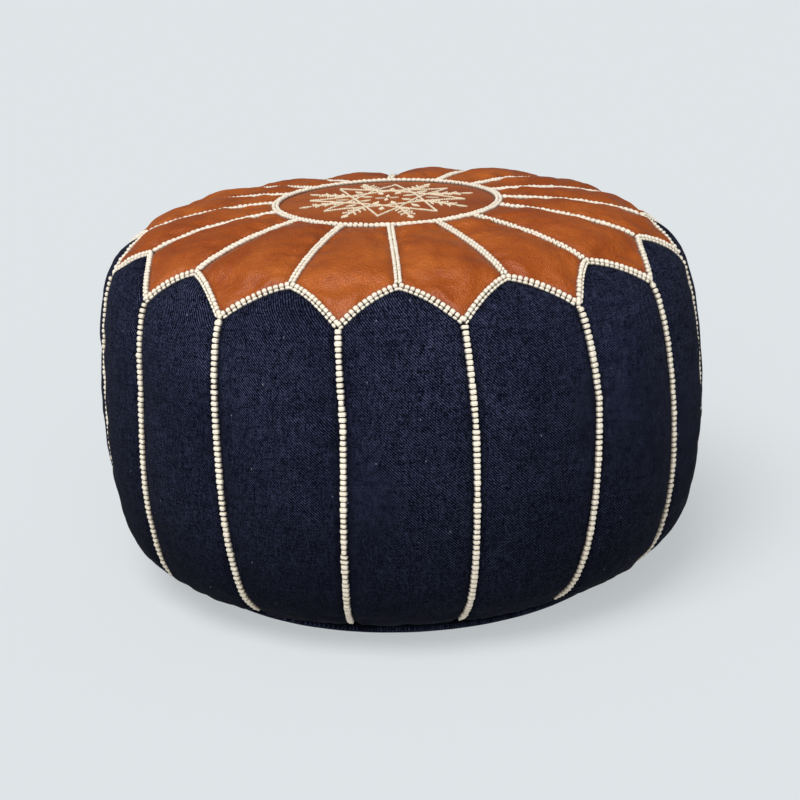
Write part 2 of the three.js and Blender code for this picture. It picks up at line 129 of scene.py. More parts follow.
def stray_rows():
    """Rows of strays at 32 azimuths half a pitch apart, for the four heights in STRAY_T."""
    rows = []
    for odd, even in (("foot", None), ("middle", None), ("tip", "peak"), (None, "ring")):
        row = np.zeros(2 * PETALS)
        if odd:
            row[1::2] = SIDE_STRAY[odd]
            row[0::2] = (np.roll(row[1::2], 1) + row[1::2]) / 2
        if even:
            row[0::2] = CROWN_STRAY[even]
        if not odd:
            row[1::2] = (row[0::2] + np.roll(row[0::2], -1)) / 2
        rows.append(np.radians(row))
    return np.array(rows)


STRAY_T = np.array([0.04, 0.5, 0.71, 1.0])
STRAY = stray_rows()


def stray(azimuth, t):
    """Radians by which the cover's seams are turned from their even places, at each point."""
    turns = np.mod(azimuth / PITCH * 2, 2 * PETALS)
    low = np.floor(turns).astype(int) % (2 * PETALS)
    share = turns - np.floor(turns)
    at = STRAY[:, low] * (1 - share) + STRAY[:, (low + 1) % (2 * PETALS)] * share
    row = np.clip(np.interp(t, STRAY_T, np.arange(len(STRAY_T))), 0, len(STRAY_T) - 1)
    i = np.minimum(row.astype(int), len(STRAY_T) - 2)
    j = np.arange(at.shape[1])
    w = row - i
    return at[i, j] * (1 - w) + at[i + 1, j] * w


def smoothstep(x, low, high):
    """0 below low, 1 above high, smooth between."""
    s = np.clip((x - low) / (high - low), 0, 1)
    return s * s * (3 - 2 * s)


def swelling(t, start, full, fade, end):
    """0 outside start..end, 1 from full to fade, smooth between."""
    return smoothstep(t, start, full) * (1 - smoothstep(t, fade, end))


def place(azimuth, t, lift=0.0):
    """Points on the cover, lifted off its seam line, with the outward normals there."""
    azimuth, t, lift = np.broadcast_arrays(*(np.asarray(v, float) for v in (azimuth, t, lift)))
    shape = azimuth.shape
    azimuth, t, lift = azimuth.ravel(), t.ravel(), lift.ravel()
    turn = azimuth + stray(azimuth, t)
    r = np.interp(t, TABLE_T, TABLE_P[:, 0])
    z = np.interp(t, TABLE_T, TABLE_P[:, 1])
    nr = np.interp(t, TABLE_T, TABLE_N[:, 0])
    nz = np.interp(t, TABLE_T, TABLE_N[:, 1])
    right = np.sin(azimuth)
    lift = lift + swelling(t, *FOOT_BAND) * (FOOT_BULGE + FOOT_SIDES * right**2 - FOOT_LEAN * right)
    w = smoothstep(t, *CROWN_BAND)
    r = (r + nr * lift) * (1 - w * (1 - MEDALLION_SCALE))
    p = np.stack([r * np.sin(turn), -r * np.cos(turn), z + nz * lift], 1)
    p[:, :2] += w[:, None] * MEDALLION_SHIFT
    p[:, :2] += swelling(t, *BELLY_BAND)[:, None] * BELLY_SHIFT
    petals = swelling(t, *PETAL_BAND)
    p[:, 2] += HIGH_PETALS * petals * np.clip(np.cos(azimuth - HIGH_TURN), 0, 1) ** HIGH_NARROW
    p[:, 2] -= LOW_PETALS * petals * np.clip(np.cos(azimuth - LOW_TURN), 0, 1) ** LOW_NARROW
    n = np.stack([nr * np.sin(turn), -nr * np.cos(turn), nz], 1)
    return p.reshape(*shape, 3), n.reshape(*shape, 3)


def speed(t):
    """Metres of seam line for each unit of t."""
    return np.interp(t, TABLE_T, TABLE_SPEED)


ARCH_ROUND = 0.58  # 0 makes each side of an arch straight, 1 a parabola


def zigzag(azimuth):
    """t of the arched edge between the crown and the sides."""
    turns = azimuth / PITCH
    d = 2 * np.abs(turns - np.round(turns))
    return T_PEAK - (T_PEAK - T_TIP) * ((1 - ARCH_ROUND) * d + ARCH_ROUND * d * d)


# ------------------------ meshes
def new_object(name, verts, faces, smooth=True, attributes=None):
    """A mesh in the scene. attributes holds, by name, a value for each point."""
    mesh = bpy.data.meshes.new(name)
    mesh.from_pydata([tuple(v) for v in np.asarray(verts, float).tolist()], [], faces)
    for key, values in (attributes or {}).items():
        layer = mesh.attributes.new(key, "FLOAT", "POINT")
        layer.data.foreach_set("value", np.asarray(values, np.float32))
    mesh.polygons.foreach_set("use_smooth", [smooth] * len(mesh.polygons))
    mesh.update()
    obj = bpy.data.objects.new(name, mesh)
    scene.collection.objects.link(obj)
    return obj


def grid_faces(rows, columns, offset=0, wrap=False):
    """Quads of a grid of points in rows; they face the side from which columns run right and rows up."""
    faces = []
    for j in range(rows - 1):
        for i in range(columns if wrap else columns - 1):
            a = offset + j * columns + i
            b = offset + j * columns + (i + 1) % columns
            faces.append((a, b, b + columns, a + columns))
    return faces


def settle(obj):
    """The object's mesh with its modifiers applied, in place of what it had."""
    depsgraph = bpy.context.evaluated_depsgraph_get()
    mesh = bpy.data.meshes.new_from_object(
        obj.evaluated_get(depsgraph), preserve_all_data_layers=True, depsgraph=depsgraph
    )
    obj.modifiers.clear()
    obj.data = mesh


def paint(obj, material):
    obj.data.materials.clear()
    obj.data.materials.append(material)


def thicken(obj, thickness):
    """Makes a sheet a closed shell, inwards from its surface."""
    shell = obj.modifiers.new("shell", "SOLIDIFY")
    shell.thickness = thickness
    shell.offset = -1
    settle(obj)


def finish_piece(obj, body, material, replaced=()):
    """Gives a piece its material and body, and hides the CAD nodes that it stands for."""
    paint(obj, material)
    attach(obj, body)
    if replaced:
        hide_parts(*replaced)


# ------------------------ materials
def srgb(r, g, b):
    """A linear colour from 8-bit sRGB."""
    out = []
    for v in (r, g, b):
        v /= 255
        out.append(v / 12.92 if v <= 0.04045 else ((v + 0.055) / 1.055) ** 2.4)
    return (*out, 1.0)


class Graph:
    """A material's nodes, with short calls for the ones used most."""

    def __init__(self, name):
        self.material = bpy.data.materials.new(name)
        self.material.use_nodes = True
        self.tree = self.material.node_tree
        self.tree.nodes.clear()
        output = self.tree.nodes.new("ShaderNodeOutputMaterial")
        self.shader = self.tree.nodes.new("ShaderNodeBsdfPrincipled")
        self.link(self.shader.outputs[0], output.inputs["Surface"])
        self.coords = self.tree.nodes.new("ShaderNodeTexCoord").outputs["Object"]

    def link(self, a, b):
        self.tree.links.new(a, b)

    def put(self, socket, value):
        if isinstance(value, bpy.types.NodeSocket):
            self.link(value, socket)
        else:
            socket.default_value = value

    def xyz(self):
        """The coordinates of a point in its object's frame, each on its own."""
        n = self.tree.nodes.new("ShaderNodeSeparateXYZ")
        self.link(self.coords, n.inputs[0])
        return n.outputs

    def pair(self, x, y):
        """A vector of two values."""
        n = self.tree.nodes.new("ShaderNodeCombineXYZ")
        self.link(x, n.inputs[0])
        self.link(y, n.inputs[1])
        return n.outputs[0]

    def math(self, operation, a, b=0.0):
        n = self.tree.nodes.new("ShaderNodeMath")
        n.operation = operation
        for socket, value in zip(n.inputs, (a, b)):
            self.put(socket, value)
        return n.outputs[0]

    def scaled(self, vector, scale):
        n = self.tree.nodes.new("ShaderNodeVectorMath")
        n.operation = "MULTIPLY"
        self.put(n.inputs[0], vector)
        n.inputs[1].default_value = scale
        return n.outputs[0]

    def noise(self, scale, detail=2.0, roughness=0.5, vector=None, distortion=0.0):
        n = self.tree.nodes.new("ShaderNodeTexNoise")
        self.put(n.inputs["Vector"], vector or self.coords)
        n.inputs["Scale"].default_value = scale
        n.inputs["Detail"].default_value = detail
        n.inputs["Roughness"].default_value = roughness
        n.inputs["Distortion"].default_value = distortion
        return n.outputs["Fac"]

    def yarns(self, across, along, pitch, length):
        """A random value for each stretch of yarn: yarns lie along one way, a pitch apart."""
        row = self.math("FLOOR", self.math("DIVIDE", across, pitch))
        first = self.tree.nodes.new("ShaderNodeTexWhiteNoise")
        first.noise_dimensions = "1D"
        self.link(row, first.inputs["W"])
        shift = self.math("MULTIPLY", first.outputs["Value"], 9.0)
        stretch = self.math("FLOOR", self.math("ADD", self.math("DIVIDE", along, length), shift))
        second = self.tree.nodes.new("ShaderNodeTexWhiteNoise")
        second.noise_dimensions = "2D"
        self.link(self.pair(row, stretch), second.inputs["Vector"])
        return second.outputs["Value"]

    def cells(self, scale, vector=None):
        """Distance to the nearest of many scattered points."""
        n = self.tree.nodes.new("ShaderNodeTexVoronoi")
        self.put(n.inputs["Vector"], vector or self.coords)
        n.inputs["Scale"].default_value = scale
        return n.outputs["Distance"]

    def span(self, value, low, high, to_low=0.0, to_high=1.0):
        """value mapped from low..high to to_low..to_high, and held there outside."""
        n = self.tree.nodes.new("ShaderNodeMapRange")
        self.put(n.inputs["Value"], value)
        for key, v in (("From Min", low), ("From Max", high), ("To Min", to_low), ("To Max", to_high)):
            self.put(n.inputs[key], v)
        return n.outputs[0]

    def mix(self, share, a, b):
        n = self.tree.nodes.new("ShaderNodeMix")
        n.data_type = "RGBA"
        self.put(n.inputs[0], share)
        self.put(n.inputs[6], a)
        self.put(n.inputs[7], b)
        return n.outputs[2]

    def attribute(self, name):
        n = self.tree.nodes.new("ShaderNodeAttribute")
        n.attribute_name = name
        return n.outputs["Fac"]

    def bump(self, height, distance, strength, normal=None):
        n = self.tree.nodes.new("ShaderNodeBump")
        self.put(n.inputs["Height"], height)
        n.inputs["Distance"].default_value = distance
        n.inputs["Strength"].default_value = strength
        if normal is not None:
            self.link(normal, n.inputs["Normal"])
        return n.outputs[0]

    def finish(self, colour, roughness, normal=None, **constants):
        self.put(self.shader.inputs["Base Color"], colour)
        self.put(self.shader.inputs["Roughness"], roughness)
        if normal is not None:
            self.link(normal, self.shader.inputs["Normal"])
        for key, value in constants.items():
            self.shader.inputs[key.replace("_", " ")].default_value = value
        return self.material


# The attribute "seam" holds about how many millimetres a point is from the nearest seam, and
# "deep" is 1 at the foot of a stitch and 0 at its top; the thread paints shade where it is deep.
def leather_material():
    """Tan leather, darker in its pores and beside the seams."""
    g = Graph("leather")
    clouds = g.noise(13, 4, 0.6, distortion=0.6)
    blots = g.noise(48, 3, 0.6)
    colour = g.mix(g.span(clouds, 0.36, 0.66), srgb(160, 72, 6), srgb(190, 98, 27))
    colour = g.mix(g.span(blots, 0.5, 0.72, 0, 0.4), colour, srgb(138, 54, 0))
    colour = g.mix(g.span(g.noise(7, 2), 0.52, 0.7, 0, 0.5), colour, srgb(146, 60, 2))
    colour = g.mix(g.span(g.attribute("seam"), 0, 9, 0.55, 0), colour, srgb(98, 38, 4))
    grit = g.noise(1100, 1, 0.6)
    colour = g.mix(g.span(grit, 0.44, 0.6, 0.3, 0), colour, srgb(112, 44, 6))
    pores = g.cells(620)
    colour = g.mix(g.span(pores, 0.0, 0.3, 0.4, 0), colour, srgb(88, 36, 6))
    creases = g.noise(110, 3, 0.55, distortion=1.2)
    normal = g.bump(creases, 0.0016, 0.7)
    normal = g.bump(g.math("ADD", pores, g.math("MULTIPLY", grit, 0.5)), 0.0006, 0.8, normal)
    rough = g.span(g.math("ADD", clouds, g.math("MULTIPLY", pores, 0.4)), 0.3, 1.0, 0.33, 0.55)
    return g.finish(colour, rough, normal, Specular_IOR_Level=0.42)


TWILL = 2.5 * MM  # spacing of the slanting ridges, measured round the pouf
YARN = 0.9 * MM  # spacing of the yarns
COVER_R = 272 * MM  # radius at which a turn about Z is measured as cloth
PAINTED_SHADE_TOP = 270 * MM  # painted shade: the sides darken from this height down, as the light falls from above


def denim_material(name="denim", flat=False):
    """Indigo twill. The yarns run up and round the sides, or along x and y where flat."""
    g = Graph(name)
    x, y, z = g.xyz()
    if flat:
        across, along = x, y
    else:
        turn = g.math("ARCTAN2", x, g.math("MULTIPLY", y, -1.0))
        across, along = g.math("MULTIPLY", turn, COVER_R), z
    cloth = g.pair(across, along)
    grain = g.yarns(along, across, YARN, YARN)
    weft = g.yarns(along, across, YARN, 9 * YARN)
    warp = g.yarns(across, along, YARN, 6 * YARN)
    slub = g.noise(300, 2, 0.6, vector=g.scaled(cloth, (0.22, 3.0, 1)))
    clouds = g.noise(11, 4, 0.6)
    seam = g.attribute("seam")
    slope = g.math("ADD", across, along)
    twill = g.math("SINE", g.math("MULTIPLY", slope, 2 * math.pi / TWILL))
    yarn = g.math("ADD", g.math("MULTIPLY", weft, 0.12), g.math("MULTIPLY", warp, 0.16))
    yarn = g.math("ADD", yarn, g.math("MULTIPLY", grain, 0.32))
    yarn = g.math("ADD", yarn, g.span(twill, -1, 1, 0, 0.4))
    colour = g.mix(g.span(yarn, 0.2, 0.52), srgb(0, 0, 6), srgb(8, 9, 24))
    colour = g.mix(g.span(yarn, 0.48, 0.86), colour, srgb(72, 78, 106))
    colour = g.mix(g.span(slub, 0.54, 0.72, 0, 0.16), colour, srgb(50, 56, 88))
    colour = g.mix(g.span(clouds, 0.35, 0.65, 0.4, 0), colour, srgb(6, 8, 22))
    # Painted shade: darker towards the floor, strongly on the sides and a little on the flat base.
    painted_shade = g.span(z, 0.0, PAINTED_SHADE_TOP, 0.3 if flat else 0.93, 0.0)
    colour = g.mix(painted_shade, colour, srgb(2, 3, 11))
    colour = g.mix(g.span(seam, 1.0, 9.0, 0.75, 0), colour, srgb(2, 3, 10))
    lint = g.cells(62, vector=g.scaled(cloth, (1.2, 0.8, 1)))
    colour = g.mix(g.span(lint, 0.025, 0.04, 0.7, 0), colour, srgb(150, 152, 166))
    normal = g.bump(g.noise(60, 3, 0.5), 0.0012, 0.35)
    normal = g.bump(yarn, 0.0003, 0.6, normal)
    return g.finish(colour, 0.95, normal, Specular_IOR_Level=0.05)


def thread_material(name="thread", tint=(255, 250, 238), dark=(226, 211, 184)):
    """Cream cotton, with painted shade deep between the stitches, and a little darker towards the floor.
    """
    g = Graph(name)
    fibre = g.noise(1500, 3, 0.6)
    tone = g.noise(180, 2)
    colour = g.mix(g.span(fibre, 0.3, 0.7), srgb(*dark), srgb(*tint))
    colour = g.mix(g.span(tone, 0.45, 0.75, 0, 0.4), colour, srgb(222, 206, 178))
    # Painted shade at the feet of the stitches and in the grooves between their strands.
    colour = g.mix(g.span(g.attribute("deep"), 0.3, 1.0, 0, 0.92), colour, srgb(84, 62, 42))
    # Darker towards the floor.
    colour = g.mix(g.span(g.xyz()[2], 0.0, 0.17, 0.5, 0), colour, srgb(132, 116, 92))
    return g.finish(
        colour, 0.62, g.bump(fibre, 0.0002, 0.4), Specular_IOR_Level=0.4, Sheen_Weight=0.2
    )


def cloth_material(name, light, dark, scale=1400):
    """A plain weave of two tones."""
    g = Graph(name)
    weave = g.math(
        "ADD",
        g.noise(scale, 2, vector=g.scaled(g.coords, (0.3, 1, 1))),
        g.noise(scale, 2, vector=g.scaled(g.coords, (1, 0.3, 0.3))),
    )
    colour = g.mix(g.span(weave, 0.7, 1.3), srgb(*dark), srgb(*light))
    colour = g.mix(g.span(g.noise(9, 3), 0.4, 0.7, 0, 0.3), colour, srgb(*dark))
    return g.finish(colour, 0.9, g.bump(weave, 0.0004, 0.5), Sheen_Weight=0.1)


def plastic_material():
    g = Graph("zip_coil")
    tone = g.noise(300, 3)
    colour = g.mix(g.span(tone, 0.3, 0.7), srgb(14, 15, 24), srgb(26, 28, 40))
    return g.finish(colour, g.span(tone, 0.3, 0.7, 0.3, 0.45), g.bump(tone, 0.0001, 0.3))


def metal_material():
    g = Graph("zip_metal")
    tone = g.noise(420, 4, 0.6)
    scratches = g.noise(900, 2, vector=g.scaled(g.coords, (0.08, 1, 1)))
    colour = g.mix(g.span(tone, 0.35, 0.65), srgb(150, 118, 66), srgb(186, 152, 94))
    rough = g.span(g.math("ADD", tone, scratches), 0.7, 1.3, 0.22, 0.42)
    return g.finish(colour, rough, g.bump(scratches, 0.00005, 0.4), Metallic=1.0)


LEATHER = leather_material()
DENIM = denim_material()
DENIM_FLAT = denim_material("denim_base", True)
THREAD = thread_material()
CALICO = cloth_material("calico", (222, 212, 190), (190, 178, 152))
FIBRE = cloth_material("fibre", (236, 234, 226), (206, 202, 190), 500)
TAPE = cloth_material("zip_tape", (24, 26, 40), (9, 10, 18), 2200)
COIL = plastic_material()
METAL = metal_material()

# ------------------------ panels
SEAM_STRIP = 3.0 * MM  # the cloth is held down by the stitches this far from each seam
HALF_GAP = 0.35 * MM  # from a seam's middle to the edge of each panel beside it
EDGE_SINK = 1.5 * MM  # how far the edges lie under the seam line
STRIP_SINK = 0.3 * MM
ROUGH = 0.4 * MM  # spread of the cloth's own unevenness
SLACK_REACH = 18  # the cloth is slackest at a seam, and least slack from this many millimetres on
FOLD_CLEAR = (2.5, 6)  # folds start this many millimetres from a seam, and are full here
CLOTH_FRAMES = 20
MEAN_SPEED = speed(0.5) * 0.8  # metres of cover for each unit of t, roughly


class Panel:
    """A grid of points on one panel of the cover: s runs from -1 to 1 across it, v from 0 to 1 up."""

    def __init__(self, name, middle, low, high, columns, rows, width, share):
        """middle is its azimuth in pitches, low and high give its ends' t, and share is the part of
        the seam line that it covers."""
        self.name = name
        strip = 2 * SEAM_STRIP / width
        self.s = np.r_[-1, np.linspace(-1 + strip, 1 - strip, columns), 1]
        edge = SEAM_STRIP / (MEAN_SPEED * share)
        self.v = np.r_[0, np.linspace(edge, 1 - edge, rows), 1]
        s, v = np.meshgrid(self.s, self.v)
        nominal = (middle + s / 2) * PITCH
        from_t, to_t = low(nominal), high(nominal)
        from_t = from_t + HALF_GAP / speed(from_t)
        to_t = to_t - HALF_GAP / speed(to_t)
        t = from_t + (to_t - from_t) * v
        radius = np.interp(t, TABLE_T, TABLE_P[:, 0])
        azimuth = nominal - s * HALF_GAP / radius
        self.base, self.normal = place(azimuth, t)
        side = radius * PITCH / 2 * (1 - np.abs(s)) / MM
        steps = np.linalg.norm(np.diff(self.base, axis=0), axis=2)
        rise = np.cumsum(np.r_[np.zeros((1, s.shape[1])), steps], axis=0)
        self.seam = np.minimum(side, np.minimum(rise, rise[-1] - rise) / MM)
        self.edge = np.zeros(s.shape, bool)
        self.edge[[0, -1], :] = True
        self.edge[:, [0, -1]] = True
        self.strip = np.zeros(s.shape, bool)
        self.strip[[1, -2], :] = True
        self.strip[:, [1, -2]] = True
        self.strip &= ~self.edge
        self.pillow = (1 - s * s) * (1 - (2 * v - 1) ** 4)
        self.s_grid, self.v_grid, self.rise = s, v, rise

    def tucks(self, phase, wave, depth, reach):
        """Small folds that run in from the side seams, as offsets along the normals."""
        near = smoothstep(self.seam, *FOLD_CLEAR) * np.exp(-self.seam / reach)
        return depth * near * np.sin(self.rise / wave * 2 * math.pi + phase + 2 * np.sign(self.s_grid))

    def gathers(self, phase, count, depth, reach):
        """Small folds that run in from the arched edge, as offsets along the normals."""
        near = smoothstep(self.seam, *FOLD_CLEAR) * np.exp(-self.v_grid / reach)
        return depth * near * np.sin(self.s_grid * count * math.pi + phase)


def inflate(panels, name, rng, stiffness, bending, pressure, slack, cap, start):
    """Swells the panels as cloth held at their seams, and returns each one's points.
    slack is the cloth's shrinkage at a seam and away from it, which is below 0 for spare cloth."""
    verts, faces, pins, slacks, offset = [], [], [], [], 0
    for panel in panels:
        rough = rng.normal(0, ROUGH, panel.base.shape[:2])
        lift = start * panel.pillow + rough * (~panel.edge & ~panel.strip)
        lift = np.where(panel.edge, -EDGE_SINK, lift)
        lift = np.where(panel.strip, -STRIP_SINK, lift)
        verts.append((panel.base + panel.normal * lift[..., None]).reshape(-1, 3))
        rows, columns = panel.base.shape[:2]
        faces += grid_faces(rows, columns, offset)
        pins.append((panel.edge | panel.strip).ravel())
        slacks.append(np.clip(panel.seam.ravel() / SLACK_REACH, 0, 1))
        offset += rows * columns
    verts = np.concatenate(verts)
    pins = np.concatenate(pins)
    slacks = np.concatenate(slacks)
    obj = new_object(name, verts, faces)
    pin = obj.vertex_groups.new(name="pin")
    pin.add(np.nonzero(pins)[0].tolist(), 1.0, "REPLACE")
    ease = obj.vertex_groups.new(name="ease")
    for i, w in enumerate(slacks.tolist()):
        ease.add([i], w, "REPLACE")
    cloth = obj.modifiers.new("Cloth", "CLOTH")
    cs = cloth.settings
    cs.quality = 5
    cs.mass = 0.25
    cs.tension_stiffness = stiffness
    cs.compression_stiffness = stiffness
    cs.shear_stiffness = stiffness / 3
    cs.bending_stiffness = bending
    cs.air_damping = 4
    cs.vertex_group_mass = "pin"
    cs.vertex_group_shrink = "ease"
    cs.shrink_min, cs.shrink_max = slack
    cs.use_pressure = True
    cs.uniform_pressure_force = pressure
    cs.effector_weights.gravity = 0
    cloth.collision_settings.use_collision = False
    cloth.collision_settings.use_self_collision = False
    cloth.point_cache.frame_start, cloth.point_cache.frame_end = 1, CLOTH_FRAMES
    for f in range(1, CLOTH_FRAMES + 1):
        scene.frame_set(f)
    settle(obj)
    out = np.zeros(len(obj.data.vertices) * 3, np.float32)
    obj.data.vertices.foreach_get("co", out)
    swollen = out.reshape(-1, 3).astype(float)
    bpy.data.objects.remove(obj)
    scene.frame_set(1)
    results, offset = [], 0
    for panel in panels:
        count = panel.base.shape[0] * panel.base.shape[1]
        points = swollen[offset : offset + count].reshape(panel.base.shape)
        away = points - panel.base
        out = (away * panel.normal).sum(-1)
        held = np.clip(out, -EDGE_SINK - 0.1 * MM, cap)
        points = points + panel.normal * (held - out)[..., None]
        results.append(points)
        offset += count
    return results


def skin(panel, points, thickness, material, node):
    """One panel as a thin closed shell, smoothed once."""
    rows, columns = points.shape[:2]
    obj = new_object(
        panel.name, points.reshape(-1, 3), grid_faces(rows, columns), True, {"seam": panel.seam.ravel()}
    )
    sub = obj.modifiers.new("smooth", "SUBSURF")
    sub.levels = sub.render_levels = 1
    sub.boundary_smooth = "PRESERVE_CORNERS"
    thicken(obj, thickness)
    finish_piece(obj, "pouf", material, [node])


def foot_line(azimuth):
    return 0 * azimuth


def ring_line(azimuth):
    return 0 * azimuth + 1


DENIM_THICK = 1.0 * MM
LEATHER_THICK = 1.2 * MM
SIDE_CLOTH = dict(
    stiffness=25, bending=1.0, pressure=9.0, slack=(-0.06, -0.012), cap=9 * MM, start=2.5 * MM
)
CROWN_CLOTH = dict(
    stiffness=20, bending=0.6, pressure=7.0, slack=(-0.09, -0.02), cap=12 * MM, start=4 * MM
)

rng = np.random.default_rng(11)
sides = [
    Panel(f"side_{k + 1:02d}", k, foot_line, zigzag, 20, 58, width=105 * MM, share=2 / 3)
    for k in range(PETALS)
]
crown = [
    Panel(f"crown_{k + 1:02d}", k + 0.5, zigzag, ring_line, 18, 26, width=80 * MM, share=1 / 3)
    for k in range(PETALS)
]
side_points = inflate(sides, "side_cloth", rng, **SIDE_CLOTH)
crown_points = inflate(crown, "crown_cloth", rng, **CROWN_CLOTH)
for k, (panel, points) in enumerate(zip(sides, side_points)):
    folds = panel.tucks(rng.uniform(0, 6), wave=24 * MM, depth=1.3 * MM, reach=16)
    folds = folds + panel.tucks(rng.uniform(0, 6), wave=37 * MM, depth=0.9 * MM, reach=30)
    points = points + panel.normal * folds[..., None]
    skin(panel, points, DENIM_THICK, DENIM, f"side_panel_{k + 1:02d}")
for k, (panel, points) in enumerate(zip(crown, crown_points)):
    folds = panel.gathers(rng.uniform(0, 6), count=3.2, depth=1.2 * MM, reach=0.28)
    folds = folds + panel.tucks(rng.uniform(0, 6), wave=21 * MM, depth=0.9 * MM, reach=14)
    points = points + panel.normal * folds[..., None]
    skin(panel, points, LEATHER_THICK, LEATHER, f"petal_{k + 1:02d}")


# ------------------------ stitches
def along_path(points, normals, pitch, start=0.0, end=0.0, closed=False):
    """Even steps along a polyline: their places, tangents, normals, sideways directions and
    distances, and the polyline's length."""
    if closed:
        points = np.concatenate([points, points[:1]])
        normals = np.concatenate([normals, normals[:1]])
    steps = np.linalg.norm(np.diff(points, axis=0), axis=1)
    s = np.r_[0, np.cumsum(steps)]
    total = s[-1] - start - end
    count = max(1, round(total / pitch))
    at = start + (np.arange(count) + 0.5) * total / count
    p = np.stack([np.interp(at, s, points[:, i]) for i in range(3)], 1)
    n = np.stack([np.interp(at, s, normals[:, i]) for i in range(3)], 1)
    h = pitch * 0.5
    a = np.stack([np.interp(at - h, s, points[:, i]) for i in range(3)], 1)
    b = np.stack([np.interp(at + h, s, points[:, i]) for i in range(3)], 1)
    tangent = b - a
    tangent /= np.linalg.norm(tangent, axis=1)[:, None]
    n -= (n * tangent).sum(1)[:, None] * tangent
    n /= np.linalg.norm(n, axis=1)[:, None]
    return p, tangent, n, np.cross(tangent, n), at - start, total


SQUARE = 2.6  # how square a stitch's cross-sections are, where 2 is round
NARROW, SHORTEN = 0.26, 0.16  # how much it narrows at its ends and shortens at its sides
GROOVE = 0.3  # share of a stitch's height that the grooves between its strands take
TAPER_TO = np.array([0.3, 0.88, 0.6])  # size of a tapered run's last stitch: across, along, up


def stitch_shape(width, length, height, strands, nx, ny, shear=0.0, split=0.0, sink=1.0 * MM):
    """One bundle of threads that crosses the seam: points as (across, along, up) and its faces.
    Its strands lie side by side along the seam, and split is how deep a dip runs down its middle."""
    x = np.linspace(-1, 1, nx)
    y = np.linspace(-1, 1, ny)
    yy, xx = np.meshgrid(y, x, indexing="ij")
    dome = (1 - np.abs(xx) ** SQUARE) ** 0.5 * (1 - np.abs(yy) ** SQUARE) ** 0.5
    wave = yy * strands * math.pi / 2
    ridge = np.abs(np.cos(wave) if strands % 2 else np.sin(wave)) ** 0.7
    dip = 1 - split * np.exp(-((xx / 0.2) ** 2))
    up = height * dome * (1 - GROOVE + GROOVE * ridge) * dip
    rim = np.maximum(np.abs(xx), np.abs(yy)) > 0.999
    px = xx * width / 2 * (1 - NARROW * np.abs(yy) ** 3) * (0.93 + 0.07 * ridge)
    py = yy * length / 2 * (1 - SHORTEN * np.abs(xx) ** 3) + px * shear
    up = np.where(rim, -sink, up)
    # deep sets the painted shade at the stitch's foot.
    deep = 1 - np.clip(up / height, 0, 1) ** 0.7
    points = np.stack([px, py, up], -1).reshape(-1, 3)
    index = np.arange(nx * ny).reshape(ny, nx)
    faces = grid_faces(ny, nx)
    loop = np.r_[index[0, :], index[1:, -1], index[-1, -2::-1], index[-2:0:-1, 0]]
    faces.append(tuple(int(i) for i in loop[::-1]))
    return points, faces, deep.ravel()


class Stitches:
    """Collects many stitches into one mesh."""

    def __init__(self, rng):
        self.rng = rng
        self.verts, self.faces, self.deep, self.offset = [], [], [], 0

    def run(self, path, shape, offset=0.0, lift=0.0, taper=0.0, jitter=0.08, turn=0.07):
        """Sets stitches of one shape along a path. Those in its last taper metres get smaller."""
        p, tangent, n, side, at, total = path
        points, faces, deep = shape
        for i in range(len(p)):
            scale = 1 + self.rng.normal(0, jitter, 3)
            twist = self.rng.normal(0, turn)
            q = points * np.clip(scale, 0.8, 1.2)
            if taper:
                near = min(1.0, (total - at[i]) / taper)
                q = q * (TAPER_TO + (1 - TAPER_TO) * near)
            c, s = math.cos(twist), math.sin(twist)
            x = c * q[:, 0] - s * q[:, 1] + offset
            y = s * q[:, 0] + c * q[:, 1]
            world = p[i] + x[:, None] * side[i] + y[:, None] * tangent[i] + (q[:, 2:] + lift) * n[i]
            self.verts.append(world)
            self.faces += [tuple(v + self.offset for v in f) for f in faces]
            self.deep.append(deep)
            self.offset += len(points)

    def object(self, name):
        return new_object(
            name, np.concatenate(self.verts), self.faces, True, {"deep": np.concatenate(self.deep)}
        )


STITCH_PITCH = 4.8 * MM
FINE = 400  # points along a straight seam's path
EDGE_POINTS = 40  # points for each pitch along the zigzag edge,
RING_POINTS = 12  # and round the medallion
FRONT_END = 0.055  # t at which the two front side seams' stitches end
SIDE_END = 0.085  # and those of the others
SIDE_TAPER = 14 * MM
RAY_CLEAR = 3.5 * MM  # the crown seams' stitches stop this far from the braids at their ends
RING_HALF = 1.7 * MM  # half the distance between the two rows round the medallion
RAY_HALF = 1.65 * MM  # and between the two rows of a crown seam
EDGE_ABOVE = 1.1 * MM  # the zigzag edge's wide row lies above it, and a low one below
EDGE_BELOW = 2.2 * MM
LOW_SINK = 0.2 * MM

# Width, length and height of each stitch, the strands in it, and its points across and along.
side_bead = stitch_shape(6.6 * MM, 4.5 * MM, 3.0 * MM, 3, 8, 12, split=0.14)
edge_bead = stitch_shape(4.9 * MM, 4.5 * MM, 3.1 * MM, 3, 7, 11)
edge_low = stitch_shape(2.6 * MM, 4.9 * MM, 1.6 * MM, 1, 7, 7)
ray_bead = stitch_shape(3.8 * MM, 4.9 * MM, 2.5 * MM, 3, 7, 11, shear=0.5)

drops = Stitches(np.random.default_rng(3))
for k in range(PETALS):
    end = FRONT_END if k in (0, PETALS - 1) else SIDE_END
    points, normals = place((k + 0.5) * PITCH, np.linspace(T_TIP, end, FINE))
    drops.run(along_path(points, normals, STITCH_PITCH, 2 * MM), side_bead, taper=SIDE_TAPER)
finish_piece(drops.object("side_stitches"), "pouf", THREAD)

edge = Stitches(np.random.default_rng(4))
a = np.arange(PETALS * EDGE_POINTS) * PITCH / EDGE_POINTS
points, normals = place(a, zigzag(a))
path = along_path(points, normals, STITCH_PITCH, closed=True)
edge.run(path, edge_bead, offset=-EDGE_ABOVE)
edge.run(path, edge_low, offset=EDGE_BELOW, lift=-LOW_SINK)
finish_piece(edge.object("edge_stitches"), "pouf", THREAD, ["side_seam_braid"])

